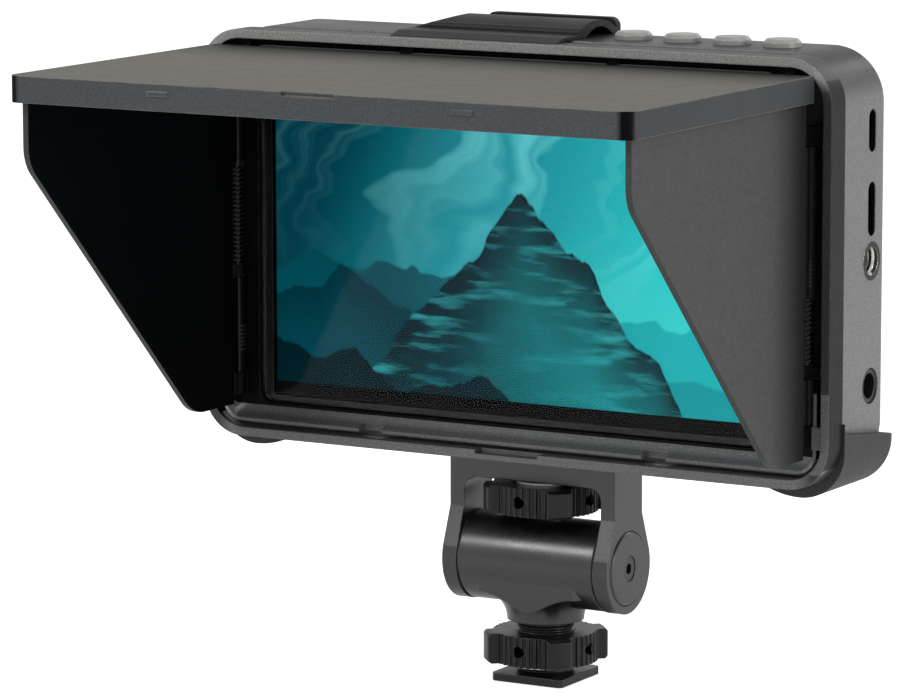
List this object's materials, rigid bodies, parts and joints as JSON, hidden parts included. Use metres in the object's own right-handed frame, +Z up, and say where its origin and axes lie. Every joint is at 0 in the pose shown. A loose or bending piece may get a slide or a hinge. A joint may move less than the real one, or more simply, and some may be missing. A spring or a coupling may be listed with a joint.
{
  "type": "camera field monitor with sun hood",
  "caption": "Flat camera monitor with a folding sun hood, side ports and top buttons, on a tilting and swivelling hot-shoe mount with hand wheels.",
  "frame": {"origin": "centre of the shoe foot's underside, on the axis of the mount's column", "axes": "+X to the right as seen by the person watching the screen, +Y away from that person, +Z up along the column"},
  "size_m": [0.1612, 0.1216, 0.1506],
  "materials": {
    "shoe_foot": "satin black anodised",
    "foot_screw": "machined",
    "threaded_stud": "black anodised",
    "lock_washer": "satin",
    "lock_wheel": "satin black, ribbed",
    "tilt_barrel": "soft satin black",
    "yoke": "soft satin black",
    "tilt_axle": "ground",
    "tilt_washers": "smooth",
    "ear_caps": "turned black",
    "axle_screws": "black oxide",
    "rubber_pad": "matt",
    "thumb_washer": "satin",
    "thumb_wheel": "satin black, ribbed",
    "camera_screw": "rolled thread",
    "rear_case": "fine-grained grey",
    "front_bezel": "fine-grained black",
    "cover_glass": "polished",
    "lcd_panel": null,
    "backlight_tray": "pressed sheet",
    "display_cable": "amber film",
    "main_board": "green solder mask",
    "board_parts": "black epoxy",
    "usb_port": "plated shell",
    "hdmi_port": "plated shell",
    "side_insert": "machined, nickel-plated rim",
    "dc_jack": "black",
    "bottom_insert": "machined",
    "top_button_1": "satin grey",
    "top_button_2": "satin grey",
    "top_button_3": "satin grey",
    "top_button_4": "satin grey",
    "button_board": "green solder mask",
    "button_switches": "black",
    "battery_plate": "black",
    "battery_contacts": "gold-plated",
    "battery_latch": "dark grey",
    "case_screws": "black zinc",
    "hood_frame": "dark grey, fine-grained",
    "left_cup": "dark grey, fine-grained",
    "right_cup": "dark grey, fine-grained",
    "top_clip": "dark grey, fine-grained",
    "left_flap": "dark grey outside, matt black inside",
    "right_flap": "dark grey outside, matt black inside",
    "top_flap": "scuffed greyish beige",
    "left_pin": "drawn wire",
    "right_pin": "drawn wire",
    "top_pin": "drawn wire",
    "left_spring": "spring wire",
    "right_spring": "spring wire"
  },
  "bodies": {
    "mount_base": {"shoe_foot": "shoe_foot", "foot_screw": "foot_screw", "threaded_stud": "threaded_stud", "tilt_barrel": "tilt_barrel"},
    "lock_washer": {"lock_washer": "lock_washer"},
    "lock_wheel": {"lock_wheel": "lock_wheel"},
    "yoke": {"yoke": "yoke", "tilt_axle": "tilt_axle", "tilt_washers": "tilt_washers", "ear_caps": "ear_caps", "axle_screws": "axle_screws", "rubber_pad": "rubber_pad"},
    "thumb_washer": {"thumb_washer": "thumb_washer"},
    "thumb_wheel": {"thumb_wheel": "thumb_wheel", "camera_screw": "camera_screw"},
    "left_flap": {"left_flap": "left_flap"},
    "right_flap": {"right_flap": "right_flap"},
    "top_flap": {"top_flap": "top_flap"},
    "top_button_1": {"top_button_1": "top_button_1"},
    "top_button_2": {"top_button_2": "top_button_2"},
    "top_button_3": {"top_button_3": "top_button_3"},
    "top_button_4": {"top_button_4": "top_button_4"},
    "battery_latch": {"battery_latch": "battery_latch"},
    "monitor": {"rear_case": "rear_case", "front_bezel": "front_bezel", "cover_glass": "cover_glass", "lcd_panel": "lcd_panel", "backlight_tray": "backlight_tray", "display_cable": "display_cable", "main_board": "main_board", "board_parts": "board_parts", "usb_port": "usb_port", "hdmi_port": "hdmi_port", "side_insert": "side_insert", "dc_jack": "dc_jack", "bottom_insert": "bottom_insert", "button_board": "button_board", "button_switches": "button_switches", "battery_plate": "battery_plate", "battery_contacts": "battery_contacts", "case_screws": "case_screws", "hood_frame": "hood_frame", "left_cup": "left_cup", "right_cup": "right_cup", "top_clip": "top_clip", "left_pin": "left_pin", "right_pin": "right_pin", "top_pin": "top_pin", "left_spring": "left_spring", "right_spring": "right_spring"}
  },
  "joints": [
    {"name": "lock_washer_travel", "type": "slide", "parent": "mount_base", "child": "lock_washer", "axis": [0, 0, 1], "range_m": [-0.0015, 0.001]},
    {"name": "lock_wheel_turn", "type": "hinge", "parent": "lock_washer", "child": "lock_wheel", "pos_m": [0, 0, 0.0077], "axis": [0, 0, 1], "range_deg": [-431, 287]},
    {"name": "yoke_tilt", "type": "hinge", "parent": "mount_base", "child": "yoke", "pos_m": [0, 0, 0.0272], "axis": [1, 0, 0], "range_deg": [-90, 90]},
    {"name": "thumb_washer_travel", "type": "slide", "parent": "yoke", "child": "thumb_washer", "axis": [0, 0, 1], "range_m": [-0.001, 0]},
    {"name": "thumb_wheel_turn", "type": "hinge", "parent": "thumb_washer", "child": "thumb_wheel", "pos_m": [0, 0, 0.0422], "axis": [0, 0, 1], "range_deg": [-282, 0]},
    {"name": "monitor_swivel", "type": "hinge", "parent": "yoke", "child": "monitor", "pos_m": [0, 0, 0.0525], "axis": [0, 0, 1], "continuous": true},
    {"name": "left_flap_fold", "type": "hinge", "parent": "monitor", "child": "left_flap", "pos_m": [-0.0734, -0.0138, 0.0973], "axis": [0, 0, 1], "range_deg": [0, 90], "stiffness_Nm_per_rad": 0.02, "springref_deg": -34.38},
    {"name": "right_flap_fold", "type": "hinge", "parent": "monitor", "child": "right_flap", "pos_m": [0.0734, -0.0155, 0.0973], "axis": [0, 0, -1], "range_deg": [0, 89], "stiffness_Nm_per_rad": 0.02, "springref_deg": -34.38},
    {"name": "top_flap_tip", "type": "hinge", "parent": "monitor", "child": "top_flap", "pos_m": [0, -0.0167, 0.1417], "axis": [-1, 0, 0], "range_deg": [0, 8], "stiffness_Nm_per_rad": 0.03, "springref_deg": -11.46},
    {"name": "top_button_1_press", "type": "slide", "parent": "monitor", "child": "top_button_1", "axis": [0, 0, 1], "range_m": [-0.0005, 0], "stiffness_N_per_m": 500, "springref_m": 0.0003},
    {"name": "top_button_2_press", "type": "slide", "parent": "monitor", "child": "top_button_2", "axis": [0, 0, 1], "range_m": [-0.0005, 0], "stiffness_N_per_m": 500, "springref_m": 0.0003},
    {"name": "top_button_3_press", "type": "slide", "parent": "monitor", "child": "top_button_3", "axis": [0, 0, 1], "range_m": [-0.0005, 0], "stiffness_N_per_m": 500, "springref_m": 0.0003},
    {"name": "top_button_4_press", "type": "slide", "parent": "monitor", "child": "top_button_4", "axis": [0, 0, 1], "range_m": [-0.0005, 0], "stiffness_N_per_m": 500, "springref_m": 0.0003},
    {"name": "battery_latch_press", "type": "slide", "parent": "monitor", "child": "battery_latch", "axis": [0, 1, 0], "range_m": [-0.0007, 0], "stiffness_N_per_m": 500, "springref_m": 0.0003}
  ],
  "couplings": [
    {"joint": "lock_washer_travel", "follows": "lock_wheel_turn", "m_per_rad": 0.00019894},
    {"joint": "thumb_washer_travel", "follows": "thumb_wheel_turn", "m_per_rad": 0.00020213}
  ]
}
